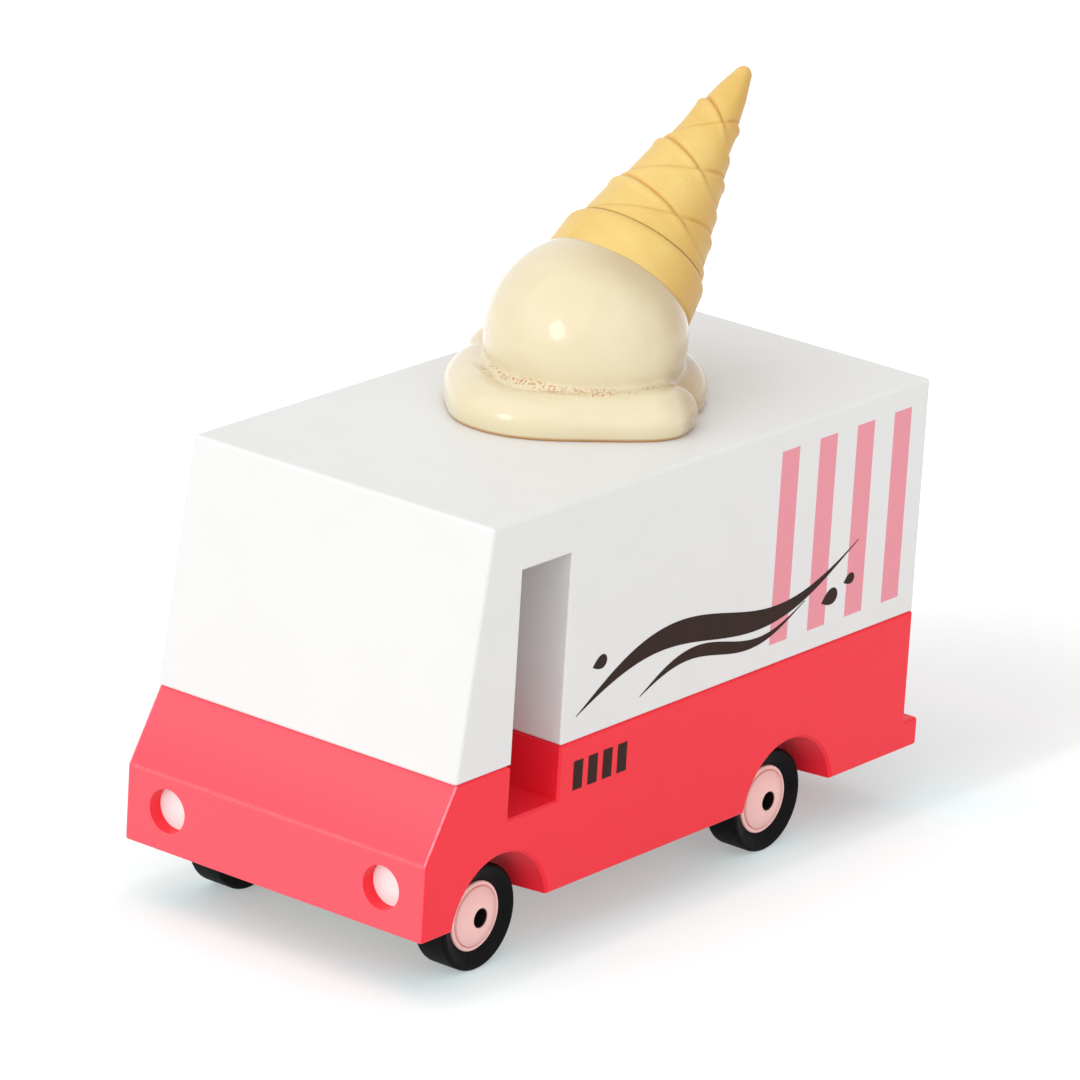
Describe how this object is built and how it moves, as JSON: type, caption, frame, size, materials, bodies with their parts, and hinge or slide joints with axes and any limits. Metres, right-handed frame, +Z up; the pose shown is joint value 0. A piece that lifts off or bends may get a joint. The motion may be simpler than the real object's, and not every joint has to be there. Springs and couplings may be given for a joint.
{
  "type": "wooden toy ice cream truck",
  "caption": "Small wooden toy ice cream truck with a sloping windshield, an open doorway through the cab, turning wheels and a melting cone on the roof.",
  "frame": {"origin": "on the floor under the middle of the outline, seen from above", "axes": "+Z up, the front of the truck faces -Y, +X is the truck's left side"},
  "size_m": [0.05, 0.1058, 0.1022],
  "materials": {
    "white_paint": "satin paint on wood",
    "red_paint": "satin paint on wood",
    "bare_wood": "plain",
    "pink_hub": "satin paint on wood",
    "black_tyre": "satin paint on wood",
    "rod_steel": "plain",
    "lamp_white": "satin paint on wood",
    "cream": "gloss",
    "waffle": "satin"
  },
  "bodies": {
    "truck": {"lower_body": "red_paint", "upper_body": "white_paint", "chassis_rail": "bare_wood", "headlight_left": "lamp_white", "headlight_right": "lamp_white", "ice_cream_scoop": "cream", "waffle_cone": "waffle"},
    "front_wheelset": {"front_axle": "rod_steel", "hub_front_left": "pink_hub", "hub_front_right": "pink_hub", "tyre_front_left": "black_tyre", "tyre_front_right": "black_tyre"},
    "rear_wheelset": {"rear_axle": "rod_steel", "hub_rear_left": "pink_hub", "hub_rear_right": "pink_hub", "tyre_rear_left": "black_tyre", "tyre_rear_right": "black_tyre"}
  },
  "joints": [
    {"name": "front_axle_spin", "type": "hinge", "parent": "truck", "child": "front_wheelset", "pos_m": [0, -0.0371, 0.0072], "axis": [1, 0, 0], "continuous": true},
    {"name": "rear_axle_spin", "type": "hinge", "parent": "truck", "child": "rear_wheelset", "pos_m": [0, 0.0239, 0.0072], "axis": [1, 0, 0], "continuous": true}
  ]
}
